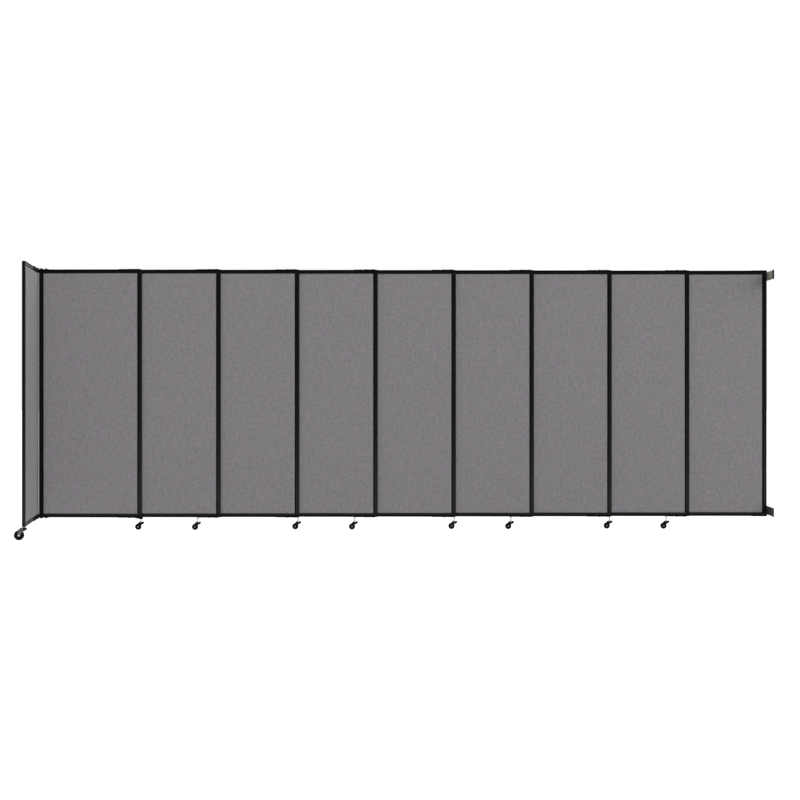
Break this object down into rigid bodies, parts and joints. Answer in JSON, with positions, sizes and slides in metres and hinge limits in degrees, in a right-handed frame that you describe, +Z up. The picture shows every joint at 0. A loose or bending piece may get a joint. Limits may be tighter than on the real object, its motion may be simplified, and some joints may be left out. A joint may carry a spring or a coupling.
{
  "type": "sliding partition",
  "caption": "Wall-fixed room divider of framed fabric panels that slide behind one another on swivel casters, with a hinged end panel.",
  "frame": {"origin": "on the floor, under the middle of the whole part's outline as pictured", "axes": "+X runs along the sliding panels to the wall end, +Y points away from the viewer to the back of the last panel, +Z is up"},
  "size_m": [5.8692, 1.0898, 2.0935],
  "materials": {
    "frame": "satin black anodised extrusion",
    "fabric": "woven grey polyester stretched on a board",
    "black_steel": "satin black powder coat",
    "caster_plastic": "moulded black nylon",
    "tyre": "black solid rubber",
    "zinc": "bright zinc-plated steel",
    "wall_bracket": "grey satin painted steel"
  },
  "bodies": {
    "panel_1": {"panel_1_frame": "frame", "panel_1_infill": "fabric", "panel_1_brackets": "black_steel", "panel_1_hinge_plates": "black_steel", "hinge_pins": "black_steel"},
    "panel_2": {"panel_2_frame": "frame", "panel_2_infill": "fabric", "panel_2_brackets": "black_steel", "panel_2_caster_stems": "zinc"},
    "panel_3": {"panel_3_frame": "frame", "panel_3_infill": "fabric", "panel_3_brackets": "black_steel"},
    "panel_4": {"panel_4_frame": "frame", "panel_4_infill": "fabric", "panel_4_brackets": "black_steel", "panel_4_caster_stems": "zinc"},
    "panel_5": {"panel_5_frame": "frame", "panel_5_infill": "fabric", "panel_5_brackets": "black_steel"},
    "panel_6": {"panel_6_frame": "frame", "panel_6_infill": "fabric", "panel_6_brackets": "black_steel", "panel_6_caster_stems": "zinc"},
    "panel_7": {"panel_7_frame": "frame", "panel_7_infill": "fabric", "panel_7_brackets": "black_steel"},
    "panel_8": {"panel_8_frame": "frame", "panel_8_infill": "fabric", "panel_8_brackets": "black_steel", "panel_8_caster_stems": "zinc"},
    "wall_panel": {"panel_9_frame": "frame", "panel_9_infill": "fabric", "panel_9_brackets": "black_steel", "wall_brackets": "wall_bracket"},
    "panel_2_left_caster": {"panel_2_left_fork": "caster_plastic"},
    "panel_2_left_wheel": {"panel_2_left_wheel": "tyre"},
    "panel_2_right_caster": {"panel_2_right_fork": "caster_plastic"},
    "panel_2_right_wheel": {"panel_2_right_wheel": "tyre"},
    "panel_4_left_caster": {"panel_4_left_fork": "caster_plastic"},
    "panel_4_left_wheel": {"panel_4_left_wheel": "tyre"},
    "panel_4_right_caster": {"panel_4_right_fork": "caster_plastic"},
    "panel_4_right_wheel": {"panel_4_right_wheel": "tyre"},
    "panel_6_left_caster": {"panel_6_left_fork": "caster_plastic"},
    "panel_6_left_wheel": {"panel_6_left_wheel": "tyre"},
    "panel_6_right_caster": {"panel_6_right_fork": "caster_plastic"},
    "panel_6_right_wheel": {"panel_6_right_wheel": "tyre"},
    "panel_8_left_caster": {"panel_8_left_fork": "caster_plastic"},
    "panel_8_left_wheel": {"panel_8_left_wheel": "tyre"},
    "panel_8_right_caster": {"panel_8_right_fork": "caster_plastic"},
    "panel_8_right_wheel": {"panel_8_right_wheel": "tyre"},
    "end_panel": {"end_panel_frame": "frame", "end_panel_infill": "fabric", "end_panel_hinge_arms": "black_steel", "end_caster_stem": "zinc"},
    "end_caster": {"end_caster_head": "caster_plastic", "end_caster_fork": "zinc", "end_caster_axle": "zinc"},
    "end_wheel": {"end_caster_wheel": "tyre"}
  },
  "joints": [
    {"name": "panel_8_slide", "type": "slide", "parent": "wall_panel", "child": "panel_8", "axis": [1, 0, 0], "range_m": [0, 0.626]},
    {"name": "panel_7_slide", "type": "slide", "parent": "panel_8", "child": "panel_7", "axis": [1, 0, 0], "range_m": [0, 0.626]},
    {"name": "panel_6_slide", "type": "slide", "parent": "panel_7", "child": "panel_6", "axis": [1, 0, 0], "range_m": [0, 0.626]},
    {"name": "panel_5_slide", "type": "slide", "parent": "panel_6", "child": "panel_5", "axis": [1, 0, 0], "range_m": [0, 0.626]},
    {"name": "panel_4_slide", "type": "slide", "parent": "panel_5", "child": "panel_4", "axis": [1, 0, 0], "range_m": [0, 0.626]},
    {"name": "panel_3_slide", "type": "slide", "parent": "panel_4", "child": "panel_3", "axis": [1, 0, 0], "range_m": [0, 0.626]},
    {"name": "panel_2_slide", "type": "slide", "parent": "panel_3", "child": "panel_2", "axis": [1, 0, 0], "range_m": [0, 0.626]},
    {"name": "panel_1_slide", "type": "slide", "parent": "panel_2", "child": "panel_1", "axis": [1, 0, 0], "range_m": [0, 0.626]},
    {"name": "end_panel_hinge", "type": "hinge", "parent": "panel_1", "child": "end_panel", "pos_m": [-2.89344, 0.29294, 2.083], "axis": [0, 0, 1], "range_deg": [-98, 82]},
    {"name": "panel_2_left_swivel", "type": "hinge", "parent": "panel_2", "child": "panel_2_left_caster", "pos_m": [-2.09944, 0.32294, 0.065], "axis": [0, 0, 1], "continuous": true},
    {"name": "panel_2_left_roll", "type": "hinge", "parent": "panel_2_left_caster", "child": "panel_2_left_wheel", "pos_m": [-2.12144, 0.32294, 0.025], "axis": [0, 1, 0], "continuous": true},
    {"name": "panel_2_right_swivel", "type": "hinge", "parent": "panel_2", "child": "panel_2_right_caster", "pos_m": [-1.64344, 0.32294, 0.065], "axis": [0, 0, 1], "continuous": true},
    {"name": "panel_2_right_roll", "type": "hinge", "parent": "panel_2_right_caster", "child": "panel_2_right_wheel", "pos_m": [-1.66544, 0.32294, 0.025], "axis": [0, 1, 0], "continuous": true},
    {"name": "panel_4_left_swivel", "type": "hinge", "parent": "panel_4", "child": "panel_4_left_caster", "pos_m": [-0.84544, 0.38294, 0.065], "axis": [0, 0, 1], "continuous": true},
    {"name": "panel_4_left_roll", "type": "hinge", "parent": "panel_4_left_caster", "child": "panel_4_left_wheel", "pos_m": [-0.86744, 0.38294, 0.025], "axis": [0, 1, 0], "continuous": true},
    {"name": "panel_4_right_swivel", "type": "hinge", "parent": "panel_4", "child": "panel_4_right_caster", "pos_m": [-0.38944, 0.38294, 0.065], "axis": [0, 0, 1], "continuous": true},
    {"name": "panel_4_right_roll", "type": "hinge", "parent": "panel_4_right_caster", "child": "panel_4_right_wheel", "pos_m": [-0.41144, 0.38294, 0.025], "axis": [0, 1, 0], "continuous": true},
    {"name": "panel_6_left_swivel", "type": "hinge", "parent": "panel_6", "child": "panel_6_left_caster", "pos_m": [0.40856, 0.44294, 0.065], "axis": [0, 0, 1], "continuous": true},
    {"name": "panel_6_left_roll", "type": "hinge", "parent": "panel_6_left_caster", "child": "panel_6_left_wheel", "pos_m": [0.38656, 0.44294, 0.025], "axis": [0, 1, 0], "continuous": true},
    {"name": "panel_6_right_swivel", "type": "hinge", "parent": "panel_6", "child": "panel_6_right_caster", "pos_m": [0.86456, 0.44294, 0.065], "axis": [0, 0, 1], "continuous": true},
    {"name": "panel_6_right_roll", "type": "hinge", "parent": "panel_6_right_caster", "child": "panel_6_right_wheel", "pos_m": [0.84256, 0.44294, 0.025], "axis": [0, 1, 0], "continuous": true},
    {"name": "panel_8_left_swivel", "type": "hinge", "parent": "panel_8", "child": "panel_8_left_caster", "pos_m": [1.66256, 0.50294, 0.065], "axis": [0, 0, 1], "continuous": true},
    {"name": "panel_8_left_roll", "type": "hinge", "parent": "panel_8_left_caster", "child": "panel_8_left_wheel", "pos_m": [1.64056, 0.50294, 0.025], "axis": [0, 1, 0], "continuous": true},
    {"name": "panel_8_right_swivel", "type": "hinge", "parent": "panel_8", "child": "panel_8_right_caster", "pos_m": [2.11856, 0.50294, 0.065], "axis": [0, 0, 1], "continuous": true},
    {"name": "panel_8_right_roll", "type": "hinge", "parent": "panel_8_right_caster", "child": "panel_8_right_wheel", "pos_m": [2.09656, 0.50294, 0.025], "axis": [0, 1, 0], "continuous": true},
    {"name": "end_caster_swivel", "type": "hinge", "parent": "end_panel", "child": "end_caster", "pos_m": [-2.81399, -0.49871, 0.095], "axis": [0, 0, 1], "continuous": true},
    {"name": "end_caster_roll", "type": "hinge", "parent": "end_caster", "child": "end_wheel", "pos_m": [-2.85162, -0.504, 0.0375], "axis": [0.1392, -0.9903, 0], "continuous": true}
  ]
}
